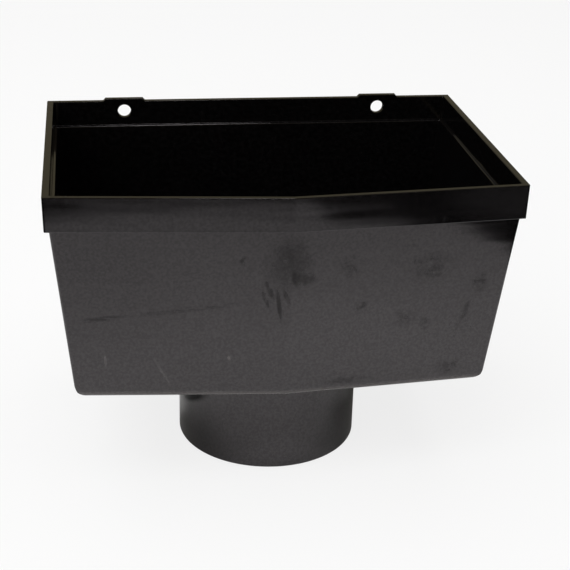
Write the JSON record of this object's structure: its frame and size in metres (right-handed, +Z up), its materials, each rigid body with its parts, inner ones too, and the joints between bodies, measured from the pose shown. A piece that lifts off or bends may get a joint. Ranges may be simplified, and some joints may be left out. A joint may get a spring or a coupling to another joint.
{
  "type": "downpipe hopper head",
  "caption": "Open rainwater hopper head: joggled rim band, shallow V front, tapered walls, flat back with screw ears and a round outlet spigot for a downpipe.",
  "frame": {"origin": "centre of the outlet's lower end", "axes": "+Z up along the outlet's axis, +Y towards the wall that the hopper is screwed to, +X to the right seen from the front"},
  "size_m": [0.162, 0.1161, 0.116],
  "materials": {
    "black_plastic": "semi-gloss black moulded plastic, lightly scuffed"
  },
  "bodies": {
    "root": {"hopper_head": "black_plastic"}
  },
  "joints": []
}
